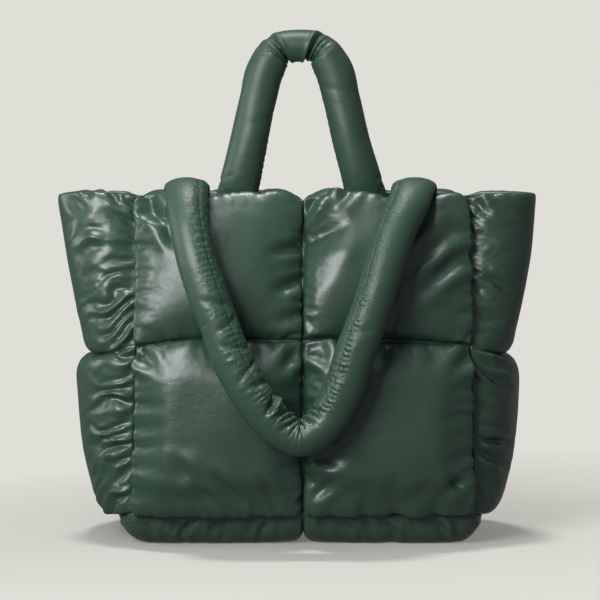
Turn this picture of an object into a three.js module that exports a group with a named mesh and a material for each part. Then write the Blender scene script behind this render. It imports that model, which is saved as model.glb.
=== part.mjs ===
// Padded tote bag: quilted front and back walls, two side gussets that fold outwards towards the rim,
// a puffed base, and two stuffed tube handles sewn flat inside the rim.
// Millimetres, +Z up, front towards -Y, standing on Z = 0.
import * as THREE from "three";

// Driving dimensions. A level is a seam that runs round the bag: half width of the front and back walls,
// half depth between them, how far each gusset's fold reaches out past the wall's side seam, and how far
// it hangs below the seam there.
const BASE_LEVEL = { z: 36, halfWidth: 173, halfDepth: 78, reachLeft: 20, reachRight: 14, foldDrop: 10 };
const ROW_LEVEL = { z: 202, halfWidth: 169, halfDepth: 68, reachLeft: 48, reachRight: 38, foldDrop: 13 };
const RIM_LEVEL = { z: 356, halfWidth: 168, halfDepth: 30, reachLeft: 86, reachRight: 72, foldDrop: 0 };
const CELLS_ACROSS_WALL = 2;
const CELL_ROWS = 2;

const SEAM_HALF = 2; // half thickness of the padding where it is stitched through
const EDGE_GAP = 0.4; // clearance that a panel keeps from each seam line it is sewn along
// Below 1 a skin rises steeply from a seam and is flat in the middle of its cell.
const OUTER_FULLNESS = 0.42;
const GUSSET_FULLNESS = [0.3, 0.42]; // lower and upper row
const INNER_FULLNESS = 1;

// How far the padding swells past the sewing surface in the lower and the upper row of cells.
const WALL_SWELL = { outer: [33, 30], inner: [9, 8] };
const GUSSET_SWELL = { outer: [22, 17], inner: [5, 4] };
const BASE_SWELL = { outer: 16, inner: 6 }; // the floor flattens the outer skin
const BASE_SAG = { depth: 25, squareness: 7 }; // the base is sewn as a shallow tray that hangs from its edge

const FOLD_PINCH = [0, 0.75]; // share of a gusset cell's swell that its outward fold takes away
const FOLD_SPREAD = 0.17; // width of that crease, as a share of the gusset
const GATHERS = { perCell: 5, depth: 3.2, fade: 0.16 }; // creases that run off a gusset's side seams

// Dips of the rim: at the seams between cells, and where the front handle presses it down.
const SEAM_DIPS = [
  { x: 0, depth: 9, spread: 16 },
  { x: -RIM_LEVEL.halfWidth, depth: 4, spread: 14 },
  { x: RIM_LEVEL.halfWidth, depth: 4, spread: 14 },
];
const HANDLE_DIPS = [
  { x: -117, depth: 9, spread: 30 },
  { x: 111, depth: 9, spread: 30 },
];

// Handle sections from one sewn end to the other: centre, width along the wall, and thickness.
const FRONT_HANDLE = [
  { x: -119, y: -26, z: 318, width: 50, thick: 11 },
  { x: -119, y: -18.5, z: 343, width: 48, thick: 12 },
  { x: -119, y: -29, z: 360, width: 46, thick: 17 },
  { x: -118, y: -51, z: 361, width: 44, thick: 23 },
  { x: -116, y: -70, z: 349, width: 42, thick: 30 },
  { x: -114, y: -83, z: 330, width: 40, thick: 36 },
  { x: -107, y: -98, z: 297, width: 39, thick: 38 },
  { x: -96, y: -107, z: 263, width: 39, thick: 38 },
  { x: -83, y: -112, z: 229, width: 39, thick: 39 },
  { x: -69, y: -117, z: 192, width: 40, thick: 39 },
  { x: -49, y: -120, z: 158, width: 40, thick: 39 },
  { x: -26, y: -122, z: 131, width: 40, thick: 38 },
  { x: -3, y: -122, z: 119, width: 40, thick: 36 },
  { x: 19, y: -122, z: 131, width: 40, thick: 38 },
  { x: 38, y: -120, z: 160, width: 40, thick: 39 },
  { x: 52, y: -117, z: 203, width: 40, thick: 39 },
  { x: 64, y: -113, z: 235, width: 39, thick: 39 },
  { x: 75, y: -107, z: 267, width: 39, thick: 38 },
  { x: 85, y: -98, z: 299, width: 39, thick: 38 },
  { x: 98, y: -83, z: 331, width: 40, thick: 36 },
  { x: 107, y: -70, z: 349, width: 42, thick: 30 },
  { x: 112, y: -51, z: 361, width: 44, thick: 23 },
  { x: 114, y: -29, z: 360, width: 46, thick: 17 },
  { x: 115, y: -18.5, z: 343, width: 48, thick: 12 },
  { x: 115, y: -26, z: 318, width: 50, thick: 11 },
];
const REAR_HANDLE = [
  { x: -76, y: 25, z: 318, width: 50, thick: 11 },
  { x: -71, y: 20, z: 342, width: 48, thick: 13 },
  { x: -66, y: 17, z: 364, width: 45, thick: 24 },
  { x: -56, y: 17, z: 411, width: 40, thick: 37 },
  { x: -47, y: 18, z: 453, width: 38, thick: 38 },
  { x: -39, y: 18, z: 483, width: 36, thick: 38 },
  { x: -28, y: 18, z: 504, width: 30, thick: 36 },
  { x: -3, y: 18, z: 510, width: 31, thick: 37 },
  { x: 19, y: 18, z: 506, width: 29, thick: 36 },
  { x: 30, y: 18, z: 487, width: 36, thick: 38 },
  { x: 40, y: 18, z: 453, width: 38, thick: 38 },
  { x: 50, y: 17, z: 411, width: 40, thick: 37 },
  { x: 63, y: 17, z: 364, width: 45, thick: 24 },
  { x: 68, y: 20, z: 342, width: 48, thick: 13 },
  { x: 73, y: 25, z: 318, width: 50, thick: 11 },
];

// Fineness of the faceted surfaces.
const WALL_STEPS = 10; // facets across one wall or base cell, each way
const GUSSET_STEPS_ACROSS = 12;
const GUSSET_STEPS_UP = 22; // facets up one gusset cell
const HANDLE_SIDES = 12;
const HANDLE_STEPS_PER_ROW = 2;

const shellCloth = new THREE.MeshStandardMaterial({ color: 0x3f5a4b, roughness: 0.38, metalness: 0 });
const handleCloth = new THREE.MeshStandardMaterial({ color: 0x425e4e, roughness: 0.4, metalness: 0 });

// The seam levels around a height given in rows: 0 at the base seam, 1 at the row seam, 2 at the rim.
function levelAt(height) {
  const [low, high] = height < 1 ? [BASE_LEVEL, ROW_LEVEL] : [ROW_LEVEL, RIM_LEVEL];
  const share = height < 1 ? height : height - 1;
  const mixed = {};
  for (const column of Object.keys(low)) {
    mixed[column] = THREE.MathUtils.lerp(low[column], high[column], share);
  }
  return mixed;
}

// How far the upper row is pulled down at x by the dips of the rim.
function rimDrop(x, height, dips) {
  const share = Math.max(0, height - 1);
  return share * dips.reduce((sum, dip) => sum + dip.depth * Math.exp(-(((x - dip.x) / dip.spread) ** 2)), 0);
}

// Sewing surface of the front (side -1) or back (side 1) wall; across runs from left to right, in cells.
function wallPoint(side, dips, across, height) {
  const level = levelAt(height);
  const x = level.halfWidth * ((2 * across) / CELLS_ACROSS_WALL - 1);
  return new THREE.Vector3(x, side * level.halfDepth, level.z - rimDrop(x, height, dips));
}

// Sewing surface of the left (side -1) or right (side 1) gusset: half an ellipse from front to back seam.
function gussetPoint(side, across, height) {
  const level = levelAt(height);
  const reach = side < 0 ? level.reachLeft : level.reachRight;
  const angle = Math.PI * (across - 0.5);
  const x = side * (level.halfWidth + reach * Math.cos(angle));
  const z = level.z - level.foldDrop * Math.cos(angle) - rimDrop(x, height, SEAM_DIPS);
  return new THREE.Vector3(x, level.halfDepth * Math.sin(angle), z);
}

// Sewing surface of the base: a tray whose rounded ends follow the gussets.
function basePoint(across, back) {
  const depthShare = 2 * back - 1;
  const share = across - 1;
  const reach = share < 0 ? BASE_LEVEL.reachLeft : BASE_LEVEL.reachRight;
  const endArc = Math.sqrt(Math.max(0, 1 - depthShare ** 2));
  const halfWidth = BASE_LEVEL.halfWidth + reach * endArc;
  const trayLength = 1 - Math.abs(share) ** (2 * BASE_SAG.squareness);
  const trayDepth = 1 - Math.abs(depthShare) ** BASE_SAG.squareness;
  const edgeDrop = BASE_LEVEL.foldDrop * endArc * share ** 4;
  const edge = BASE_LEVEL.z - 1.2 * EDGE_GAP - SEAM_HALF * share ** 4;
  const z = edge - Math.max(edgeDrop, BASE_SAG.depth * trayLength * trayDepth);
  return new THREE.Vector3(share * halfWidth, depthShare * BASE_LEVEL.halfDepth, z);
}

// Rise of the padding inside a cell: 0 on its seams, 1 in its middle.
function cellRise(across, up, fullness) {
  const rise = Math.abs(Math.sin(Math.PI * across) * Math.sin(Math.PI * up));
  return rise ** fullness;
}

// Places of the facets over a run of cells, in cells; crowded towards the seams unless they are even.
function facetPlaces(cells, steps, even) {
  const places = [];
  for (let i = 0; i <= cells * steps; i += 1) {
    const cell = Math.min(cells - 1, Math.floor(i / steps));
    const share = i / steps - cell;
    places.push(cell + (even ? share : 0.5 - 0.5 * Math.cos(Math.PI * share)));
  }
  return places;
}

// Outward unit normal of a sewing surface; turn is -1 where across x up points inwards.
function surfaceNormal(surface, across, up, turn) {
  const step = 0.01;
  const alongAcross = surface(across + step, up).sub(surface(across - step, up));
  const alongUp = surface(across, up + step).sub(surface(across, up - step));
  return alongAcross.cross(alongUp).normalize().multiplyScalar(turn);
}

// Triangles of a closed skin from an outer and an inner grid of points with the same layout.
function skinTriangles(columns, rows, turn) {
  const triangles = [];
  const count = columns * rows;
  const quad = (a, b, c, d) => {
    triangles.push(...(turn > 0 ? [a, b, c, a, c, d] : [a, c, b, a, d, c]));
  };
  for (let j = 0; j + 1 < rows; j += 1) {
    for (let i = 0; i + 1 < columns; i += 1) {
      const at = j * columns + i;
      quad(at, at + 1, at + columns + 1, at + columns);
      quad(count + at, count + at + columns, count + at + columns + 1, count + at + 1);
    }
  }
  const border = [];
  for (let i = 0; i + 1 < columns; i += 1) border.push(i);
  for (let j = 0; j + 1 < rows; j += 1) border.push(j * columns + columns - 1);
  for (let i = columns - 1; i > 0; i -= 1) border.push((rows - 1) * columns + i);
  for (let j = rows - 1; j > 0; j -= 1) border.push(j * columns);
  border.forEach((a, k) => {
    const b = border[(k + 1) % border.length];
    quad(a, a + count, b + count, b);
  });
  return triangles;
}

function solidGeometry(points, triangles) {
  const geometry = new THREE.BufferGeometry().setFromPoints(points);
  geometry.setIndex(triangles);
  geometry.computeVertexNormals();
  return geometry;
}

// One padded panel: a sewing surface with an outer and an inner skin that swell between the cells' seams.
function paddedPanel(panel) {
  const { surface, turn, acrossPlaces, upPlaces, edges, outerOffset, innerOffset, floor = -Infinity } = panel;
  const inset = (place, last, gap) => gap + (place / last) * (last - 2 * gap);
  const outer = [];
  const inner = [];
  for (const up of upPlaces) {
    for (const across of acrossPlaces) {
      const a = inset(across, acrossPlaces.at(-1), edges.across);
      const u = inset(up, upPlaces.at(-1), edges.up);
      const normal = surfaceNormal(surface, a, u, turn);
      const out = surface(a, u).addScaledVector(normal, SEAM_HALF + outerOffset(across, up));
      out.z = Math.max(floor, out.z);
      outer.push(out);
      inner.push(surface(a, u).addScaledVector(normal, -SEAM_HALF - innerOffset(across, up)));
    }
  }
  const triangles = skinTriangles(acrossPlaces.length, upPlaces.length, turn);
  return solidGeometry([...outer, ...inner], triangles);
}

// The row of cells, 0 or 1, that a height in rows falls in.
function rowOf(height) {
  return Math.min(CELL_ROWS - 1, Math.floor(height));
}

function wallGeometry(side, dips) {
  return paddedPanel({
    surface: (across, height) => wallPoint(side, dips, across, height),
    turn: -side,
    acrossPlaces: facetPlaces(CELLS_ACROSS_WALL, WALL_STEPS, false),
    upPlaces: facetPlaces(CELL_ROWS, WALL_STEPS, false),
    edges: { across: EDGE_GAP / ROW_LEVEL.halfWidth, up: EDGE_GAP / (ROW_LEVEL.z - BASE_LEVEL.z) },
    outerOffset: (across, up) => WALL_SWELL.outer[rowOf(up)] * cellRise(across, up, OUTER_FULLNESS),
    innerOffset: (across, up) => WALL_SWELL.inner[rowOf(up)] * cellRise(across, up, INNER_FULLNESS),
  });
}

// Swell of a gusset's outer skin: a cushion that its fold pinches, with gathers along the two side seams.
function gussetSwell(across, up) {
  const row = rowOf(up);
  const pinch = FOLD_PINCH[row] * Math.exp(-(((across - 0.5) / FOLD_SPREAD) ** 2));
  const rise = cellRise(across, up, GUSSET_FULLNESS[row]);
  const cushion = GUSSET_SWELL.outer[row] * (1 - pinch) * rise;
  const fromSeam = Math.min(across, 1 - across) / GATHERS.fade;
  const ripple = Math.cos(2 * Math.PI * GATHERS.perCell * up) * fromSeam * Math.exp(1 - fromSeam);
  return cushion + GATHERS.depth * ripple * rise;
}

function gussetGeometry(side) {
  return paddedPanel({
    surface: (across, height) => gussetPoint(side, across, height),
    turn: side,
    acrossPlaces: facetPlaces(1, GUSSET_STEPS_ACROSS, false),
    upPlaces: facetPlaces(CELL_ROWS, GUSSET_STEPS_UP, true),
    edges: { across: EDGE_GAP / ROW_LEVEL.halfDepth / 2, up: EDGE_GAP / (ROW_LEVEL.z - BASE_LEVEL.z) },
    outerOffset: gussetSwell,
    innerOffset: (across, up) => GUSSET_SWELL.inner[rowOf(up)] * cellRise(across, up, INNER_FULLNESS),
  });
}

function baseGeometry() {
  return paddedPanel({
    surface: basePoint,
    turn: -1,
    acrossPlaces: facetPlaces(CELLS_ACROSS_WALL, WALL_STEPS, false),
    upPlaces: facetPlaces(1, WALL_STEPS, false),
    edges: { across: EDGE_GAP / BASE_LEVEL.halfWidth, up: EDGE_GAP / BASE_LEVEL.halfDepth / 2 },
    outerOffset: (across, up) => BASE_SWELL.outer * cellRise(across, up, OUTER_FULLNESS),
    innerOffset: (across, up) => BASE_SWELL.inner * cellRise(across, up, INNER_FULLNESS),
    floor: 0,
  });
}

// Directions along a path, and across its thickness: facing the front in the middle, carried from there
// to both ends without twist, and then eased so that both ends lie flat along the wall.
function pathFrames(curve, steps) {
  const tangents = Array.from({ length: steps + 1 }, (_, k) => curve.getTangent(k / steps));
  const facings = new Array(steps + 1);
  const middle = Math.round(steps / 2);
  const front = new THREE.Vector3(0, -1, 0);
  facings[middle] = front.addScaledVector(tangents[middle], -front.dot(tangents[middle])).normalize();
  for (const end of [0, steps]) {
    const stride = Math.sign(end - middle);
    for (let k = middle; k !== end; k += stride) {
      const turn = new THREE.Quaternion().setFromUnitVectors(tangents[k], tangents[k + stride]);
      facings[k + stride] = facings[k].clone().applyQuaternion(turn);
    }
    const sideways = tangents[end].clone().cross(facings[end]);
    const alongWall = new THREE.Vector3(Math.sign(sideways.x), 0, 0);
    const twist = Math.atan2(sideways.clone().cross(alongWall).dot(tangents[end]), sideways.dot(alongWall));
    for (let k = middle + stride; k !== end + stride; k += stride) {
      facings[k].applyAxisAngle(tangents[k], (twist * (k - middle)) / (end - middle));
    }
  }
  return { tangents, facings };
}

// A stuffed tube of oval section through the rows of a handle table, closed flat at both sewn ends.
function handleGeometry(rows) {
  const curve = new THREE.CatmullRomCurve3(
    rows.map((row) => new THREE.Vector3(row.x, row.y, row.z)),
    false,
    "centripetal",
  );
  const steps = (rows.length - 1) * HANDLE_STEPS_PER_ROW;
  const { tangents, facings } = pathFrames(curve, steps);
  const points = [];
  for (let k = 0; k <= steps; k += 1) {
    const low = Math.min(rows.length - 2, Math.floor(k / HANDLE_STEPS_PER_ROW));
    const share = k / HANDLE_STEPS_PER_ROW - low;
    const halfWidth = THREE.MathUtils.lerp(rows[low].width, rows[low + 1].width, share) / 2;
    const halfThick = THREE.MathUtils.lerp(rows[low].thick, rows[low + 1].thick, share) / 2;
    const sideways = tangents[k].clone().cross(facings[k]);
    for (let s = 0; s < HANDLE_SIDES; s += 1) {
      const angle = (2 * Math.PI * s) / HANDLE_SIDES;
      points.push(
        curve
          .getPoint(k / steps)
          .addScaledVector(sideways, halfWidth * Math.cos(angle))
          .addScaledVector(facings[k], halfThick * Math.sin(angle)),
      );
    }
  }
  const triangles = [];
  const ring = (k, s) => k * HANDLE_SIDES + (s % HANDLE_SIDES);
  for (let k = 0; k < steps; k += 1) {
    for (let s = 0; s < HANDLE_SIDES; s += 1) {
      triangles.push(ring(k, s), ring(k + 1, s), ring(k, s + 1));
      triangles.push(ring(k, s + 1), ring(k + 1, s), ring(k + 1, s + 1));
    }
  }
  for (let s = 1; s + 1 < HANDLE_SIDES; s += 1) {
    triangles.push(ring(0, 0), ring(0, s), ring(0, s + 1));
    triangles.push(ring(steps, 0), ring(steps, s + 1), ring(steps, s));
  }
  return solidGeometry(points, triangles);
}

function addPiece(group, name, geometry, material) {
  const mesh = new THREE.Mesh(geometry, material);
  mesh.name = name;
  group.add(mesh);
}

const bag = new THREE.Group();
addPiece(bag, "front_wall", wallGeometry(-1, [...SEAM_DIPS, ...HANDLE_DIPS]), shellCloth);
addPiece(bag, "back_wall", wallGeometry(1, SEAM_DIPS), shellCloth);
addPiece(bag, "left_gusset", gussetGeometry(-1), shellCloth);
addPiece(bag, "right_gusset", gussetGeometry(1), shellCloth);
addPiece(bag, "base_panel", baseGeometry(), shellCloth);
addPiece(bag, "front_handle", handleGeometry(FRONT_HANDLE), handleCloth);
addPiece(bag, "rear_handle", handleGeometry(REAR_HANDLE), handleCloth);

// The part's origin is the middle of its outline on the floor.
const middle = new THREE.Box3().setFromObject(bag).getCenter(new THREE.Vector3());
bag.position.set(-middle.x, -middle.y, 0);

export default bag;
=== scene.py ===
"""Quilted padded tote bag: puffed walls, folded side gussets, a tray base and stuffed tube handles."""

import logging
import math
from collections.abc import Callable
from dataclasses import dataclass, field, fields
from enum import Enum

import bpy
import numpy as np
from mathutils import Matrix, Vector


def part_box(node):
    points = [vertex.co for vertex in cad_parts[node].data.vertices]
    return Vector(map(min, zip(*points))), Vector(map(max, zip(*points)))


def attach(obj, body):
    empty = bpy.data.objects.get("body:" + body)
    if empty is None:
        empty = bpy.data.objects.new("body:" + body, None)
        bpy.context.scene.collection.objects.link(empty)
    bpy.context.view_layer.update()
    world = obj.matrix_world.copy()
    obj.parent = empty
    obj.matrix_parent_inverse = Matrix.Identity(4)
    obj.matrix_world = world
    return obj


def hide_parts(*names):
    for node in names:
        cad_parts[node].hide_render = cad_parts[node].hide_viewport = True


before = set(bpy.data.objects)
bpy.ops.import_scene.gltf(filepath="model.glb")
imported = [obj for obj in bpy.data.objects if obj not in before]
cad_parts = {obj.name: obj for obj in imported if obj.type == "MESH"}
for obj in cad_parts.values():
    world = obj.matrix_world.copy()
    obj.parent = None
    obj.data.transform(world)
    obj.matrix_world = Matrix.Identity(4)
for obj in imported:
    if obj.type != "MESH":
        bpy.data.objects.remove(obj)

Array = np.ndarray
LOG = logging.getLogger("tote")
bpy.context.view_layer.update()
MM = 0.001  # metres in a millimetre
BENCH = 0.01  # cloth bench units in a millimetre: cloth is simulated a hundred times its size in metres
CELL = (170, 160)  # usual width and height of a quilted cell, in millimetres


class Side(Enum):
    """The sides that a panel can be sewn on, with the sign of the direction it faces."""

    FRONT = -1
    BACK = 1
    LEFT = -2
    RIGHT = 2

    @property
    def sign(self) -> int:
        """Sign of the side along its own axis."""
        return -1 if self.value < 0 else 1


# Sewing plan


@dataclass(frozen=True)
class Level:
    """A seam that runs round the bag, in millimetres."""

    z: float
    half_width: float
    half_depth: float
    reach_left: float
    reach_right: float
    fold_drop: float


@dataclass(frozen=True)
class Dip:
    """A place where the rim is pulled down."""

    x: float
    depth: float
    spread: float


@dataclass(frozen=True)
class SewingPlan:
    """The surfaces that the panels are sewn on, as functions of cells across and rows up."""

    base: Level = Level(36, 173, 78, 20, 14, 10)
    row: Level = Level(202, 169, 68, 48, 38, 13)
    rim: Level = Level(356, 168, 30, 86, 72, 0)
    seam_dips: tuple[Dip, ...] = (Dip(0, 9, 16), Dip(-168, 4, 14), Dip(168, 4, 14))
    handle_dips: tuple[Dip, ...] = (Dip(-117, 9, 30), Dip(111, 9, 30))
    row_arch: float = 6  # how far the row seam of a wall rises between its ends
    sag: float = 25  # depth of the base's tray
    squareness: float = 7  # more for a flatter tray with steeper sides
    tray_gap: float = 0.5  # how far the tray's edge lies below the base seam
    tray_dip: float = 2  # how much lower its edge lies at the ends
    arc_steps: int = 360  # steps in which a gusset's arc is measured

    def at(self, height: Array) -> Level:
        """Mixes the levels.

        Args:
            height: rows above the base seam, 0 to 2.

        Returns:
            A level whose fields are arrays.
        """
        levels = (self.base, self.row, self.rim)
        return Level(**{
            f.name: np.interp(height, (0, 1, 2), [getattr(level, f.name) for level in levels]) for f in fields(Level)
        })

    def drop(self, x: Array, height: Array, dips: tuple[Dip, ...]) -> Array:
        """How far the upper row is pulled down by the dips of the rim.

        Args:
            x: places along the rim, in millimetres.
            height: rows above the base seam.
            dips: the dips.

        Returns:
            The drop at each place, in millimetres.
        """
        return np.maximum(0, height - 1) * sum(d.depth * np.exp(-(((x - d.x) / d.spread) ** 2)) for d in dips)

    def wall(self, side: Side, across: Array, height: Array) -> Array:
        """Surface of the front or back wall.

        Args:
            side: FRONT or BACK.
            across: cells from the left, 0 to 2.
            height: rows above the base seam.

        Returns:
            Points in the sewing frame, in millimetres.
        """
        level = self.at(height)
        x = level.half_width * (across - 1)
        dips = self.seam_dips + (self.handle_dips if side is Side.FRONT else ())
        arch = self.row_arch * (1 - (across - 1) ** 4) * np.maximum(0, 1 - np.abs(height - 1))
        return np.stack([x, side.sign * level.half_depth, level.z + arch - self.drop(x, height, dips)], -1)

    def gusset(self, side: Side, across: Array, height: Array) -> Array:
        """Surface of a gusset: half an ellipse, evenly spaced from the front to the back seam.

        Args:
            side: LEFT or RIGHT.
            across: share of the way from front to back.
            height: rows above the base seam.

        Returns:
            Points in the sewing frame, in millimetres.
        """
        level = self.at(height)
        reach = level.reach_left if side is Side.LEFT else level.reach_right
        fine = np.linspace(-math.pi / 2, math.pi / 2, self.arc_steps + 1)
        angle = np.empty_like(across)
        for j in range(across.shape[0]):
            steps = np.hypot(reach[j, 0] * np.diff(np.cos(fine)), level.half_depth[j, 0] * np.diff(np.sin(fine)))
            run = np.concatenate([[0], np.cumsum(steps)])
            angle[j] = np.interp(across[j] * run[-1], run, fine)
        x = side.sign * (level.half_width + reach * np.cos(angle))
        z = level.z - level.fold_drop * np.cos(angle) - self.drop(x, height, self.seam_dips)
        return np.stack([x, level.half_depth * np.sin(angle), z], -1)

    def tray(self, across: Array, back: Array) -> Array:
        """Surface of the base: a shallow tray whose rounded ends follow the gussets.

        Args:
            across: cells from the left, 0 to 2.
            back: share of the way from the front to the back.

        Returns:
            Points in the sewing frame, in millimetres.
        """
        deep, share = 2 * back - 1, across - 1
        arc = np.sqrt(np.maximum(0, 1 - deep**2))
        half = self.base.half_width + np.where(share < 0, self.base.reach_left, self.base.reach_right) * arc
        tray = (1 - np.abs(share) ** (2 * self.squareness)) * (1 - np.abs(deep) ** self.squareness)
        edge = self.base.z - self.tray_gap - self.tray_dip * share**4
        z = edge - np.maximum(self.base.fold_drop * arc * share**4, self.sag * tray)
        return np.stack([share * half, deep * self.base.half_depth, z], -1)


PLAN = SewingPlan()
ORIGIN = np.array([
    sum(corner.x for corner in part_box("front_wall")) / 2,
    sum(corner.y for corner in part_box("base_panel")) / 2,
    0,
])


def to_frame(points: Array) -> Array:
    """Moves millimetres in the sewing frame to metres in the shared frame."""
    return points * MM + ORIGIN


# Cloth bench


@dataclass(frozen=True)
class Puffing:
    """How cloth is blown up over its filling."""

    slack: float  # spare cloth all over, as a share of its length
    seam_slack: float  # spare cloth along the gathered seams
    pressure: float = 2.5
    bending: float = 5
    frames: int = 24
    stiffness: float = 20
    shear: float = 8
    damping: float = 5
    air_damping: float = 3
    mass: float = 0.2
    quality: int = 6


class ClothBench:
    """Makes cut cloth, simulates it and turns the result into a mesh."""

    @staticmethod
    def deselect() -> None:
        """Leaves edit mode with nothing selected."""
        if bpy.context.object and bpy.context.object.mode != "OBJECT":
            bpy.ops.object.mode_set(mode="OBJECT")
        bpy.ops.object.select_all(action="DESELECT")

    @staticmethod
    def pick(cloth: bpy.types.Object) -> None:
        """Makes an object the active one and the only one selected.

        Args:
            cloth: the object.
        """
        ClothBench.deselect()
        cloth.select_set(True)
        bpy.context.view_layer.objects.active = cloth

    @staticmethod
    def edit(*steps: Callable[[], object]) -> None:
        """Takes steps in edit mode with all of the active object selected.

        Args:
            steps: the steps, in order.
        """
        bpy.ops.object.mode_set(mode="EDIT")
        bpy.ops.mesh.select_all(action="SELECT")
        for step in steps:
            step()
        bpy.ops.object.mode_set(mode="OBJECT")

    @staticmethod
    def face_outwards() -> None:
        """Points the selected faces of the active object outwards."""
        bpy.ops.mesh.normals_make_consistent(inside=False)

    @staticmethod
    def cut(name: str, across: int, up: int) -> tuple[bpy.types.Object, Array, Array, Array]:
        """Cuts a rectangle of cloth.

        Args:
            name: name of the object.
            across: facets from left to right.
            up: facets from bottom to top.

        Returns:
            The object, the vertex numbers by row and column, and each one's shares across and up.
        """
        ClothBench.deselect()
        bpy.ops.mesh.primitive_grid_add(x_subdivisions=across, y_subdivisions=up, size=2)
        cloth = bpy.context.object
        cloth.name = cloth.data.name = name
        co = ClothBench.read(cloth)
        order = np.lexsort((np.round(co[:, 0], 5), np.round(co[:, 1], 5))).reshape(up + 1, across + 1)
        shares = (co[order][..., :2] + 1) / 2
        return cloth, order, shares[..., 0], shares[..., 1]

    @staticmethod
    def read(cloth: bpy.types.Object) -> Array:
        """Vertex places of an object.

        Args:
            cloth: the object.

        Returns:
            One row per vertex.
        """
        co = np.empty(len(cloth.data.vertices) * 3)
        cloth.data.vertices.foreach_get("co", co)
        return co.reshape(-1, 3)

    @staticmethod
    def write(cloth: bpy.types.Object, points: Array) -> None:
        """Sets the vertex places of an object."""
        cloth.data.vertices.foreach_set("co", np.ascontiguousarray(points, dtype=float).reshape(-1))
        cloth.data.update()

    @staticmethod
    def weigh(cloth: bpy.types.Object, name: str, weights: Array) -> str:
        """Adds a vertex group.

        Args:
            cloth: the object.
            name: the group's name.
            weights: one weight per vertex, rounded to a hundredth.

        Returns:
            The group's name.
        """
        group = cloth.vertex_groups.new(name=name)
        steps = np.round(weights * 100).astype(int)
        for step in np.unique(steps[steps > 0]):
            group.add(np.where(steps == step)[0].tolist(), step / 100, "REPLACE")
        return group.name

    @staticmethod
    def blow_up(cloth: bpy.types.Object, start: Array, pins: Array, slack: Array, puffing: Puffing,
                rest: Array | None = None) -> Array:
        """Simulates cloth under the pressure of its filling.

        Args:
            cloth: the object, whose faces point outwards.
            start: vertex places to start from, in millimetres.
            pins: how firmly each vertex is held, 0 to 1.
            slack: how much of the seam slack each vertex has, 0 to 1.
            puffing: the cloth's settings.
            rest: places that give the cloth's own lengths, if not the start.

        Returns:
            The vertex places afterwards, in millimetres.
        """
        ClothBench.write(cloth, start * BENCH)
        modifier = cloth.modifiers.new("Cloth", "CLOTH")
        settings = modifier.settings
        settings.quality = puffing.quality
        settings.mass = puffing.mass
        settings.air_damping = puffing.air_damping
        settings.tension_stiffness = settings.compression_stiffness = puffing.stiffness
        settings.tension_damping = settings.compression_damping = puffing.damping
        settings.shear_stiffness = puffing.shear
        settings.bending_stiffness = puffing.bending
        settings.use_pressure = settings.use_pressure_volume = True
        settings.target_volume = 0
        settings.uniform_pressure_force = puffing.pressure
        settings.shrink_min = -puffing.slack
        settings.shrink_max = -puffing.seam_slack
        settings.vertex_group_shrink = ClothBench.weigh(cloth, "slack", slack)
        settings.vertex_group_mass = ClothBench.weigh(cloth, "pins", pins)
        settings.effector_weights.gravity = 0
        modifier.collision_settings.use_collision = False
        modifier.point_cache.frame_end = puffing.frames
        if rest is not None:
            cloth.shape_key_add(name="start")
            key = cloth.shape_key_add(name="rest")
            key.data.foreach_set("co", (rest * BENCH).reshape(-1))
            key.value = 0
            settings.rest_shape_key = key
        scene = bpy.context.scene
        for number in range(1, puffing.frames + 1):
            scene.frame_set(number)
        ClothBench.pick(cloth)
        bpy.ops.object.convert(target="MESH")
        scene.frame_set(1)
        cloth.vertex_groups.clear()
        return ClothBench.read(cloth) / BENCH

    @staticmethod
    def finish(cloth: bpy.types.Object) -> None:
        """Points all faces of a closed piece outwards, smooths it and adds a subdivision.

        Args:
            cloth: the piece.
        """
        ClothBench.pick(cloth)
        ClothBench.edit(ClothBench.face_outwards)
        bpy.ops.object.shade_smooth()
        smooth = cloth.modifiers.new("Smooth cloth", "SUBSURF")
        smooth.levels = smooth.render_levels = 1


def unit(vectors: Array) -> Array:
    """Vectors scaled to length 1."""
    return vectors / np.maximum(np.linalg.norm(vectors, axis=-1, keepdims=True), 1e-9)


def soft_limit(value: Array, most: Array, ease: float | Array) -> Array:
    """Lets a value approach a limit smoothly.

    Args:
        value: what is limited.
        most: the limit.
        ease: how far below the limit the easing starts.

    Returns:
        The limited value.
    """
    over = np.maximum(0, value - (most - ease))
    return np.minimum(value, most - ease) + ease * np.tanh(over / ease)


def blur(values: Array, reach: int) -> Array:
    """Mean over a square of neighbours.

    Args:
        values: a field by row and column.
        reach: neighbours on each side.

    Returns:
        The smoothed field.
    """
    kernel = np.ones(2 * reach + 1) / (2 * reach + 1)
    for axis in (0, 1):
        padding = [(reach, reach) if a == axis else (0, 0) for a in (0, 1)]
        values = np.apply_along_axis(np.convolve, axis, np.pad(values, padding, "edge"), kernel, "valid")
    return values


def drift(shape: tuple[int, int], patches: tuple[int, int], seed: int) -> Array:
    """Smooth random field, the same on every run.

    Args:
        shape: rows and columns of the field.
        patches: how many patches it has each way.
        seed: number that picks the field.

    Returns:
        Values of about -1 to 1.
    """
    knots = np.random.default_rng(seed).uniform(-1, 1, (patches[0] + 2, patches[1] + 2))
    for axis in (0, 1):
        place = np.linspace(0, patches[axis], shape[axis])
        low = np.minimum(place.astype(int), patches[axis] - 1)
        ease = place - low
        ease = ease * ease * (3 - 2 * ease)
        ease = ease[:, None] if axis == 0 else ease[None, :]
        knots = np.take(knots, low, axis) * (1 - ease) + np.take(knots, low + 1, axis) * ease
    return knots


# Handles


@dataclass(frozen=True)
class Section:
    """One section of a handle, in millimetres: centre, width along the wall, and thickness."""

    x: float
    y: float
    z: float
    width: float
    thick: float


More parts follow.
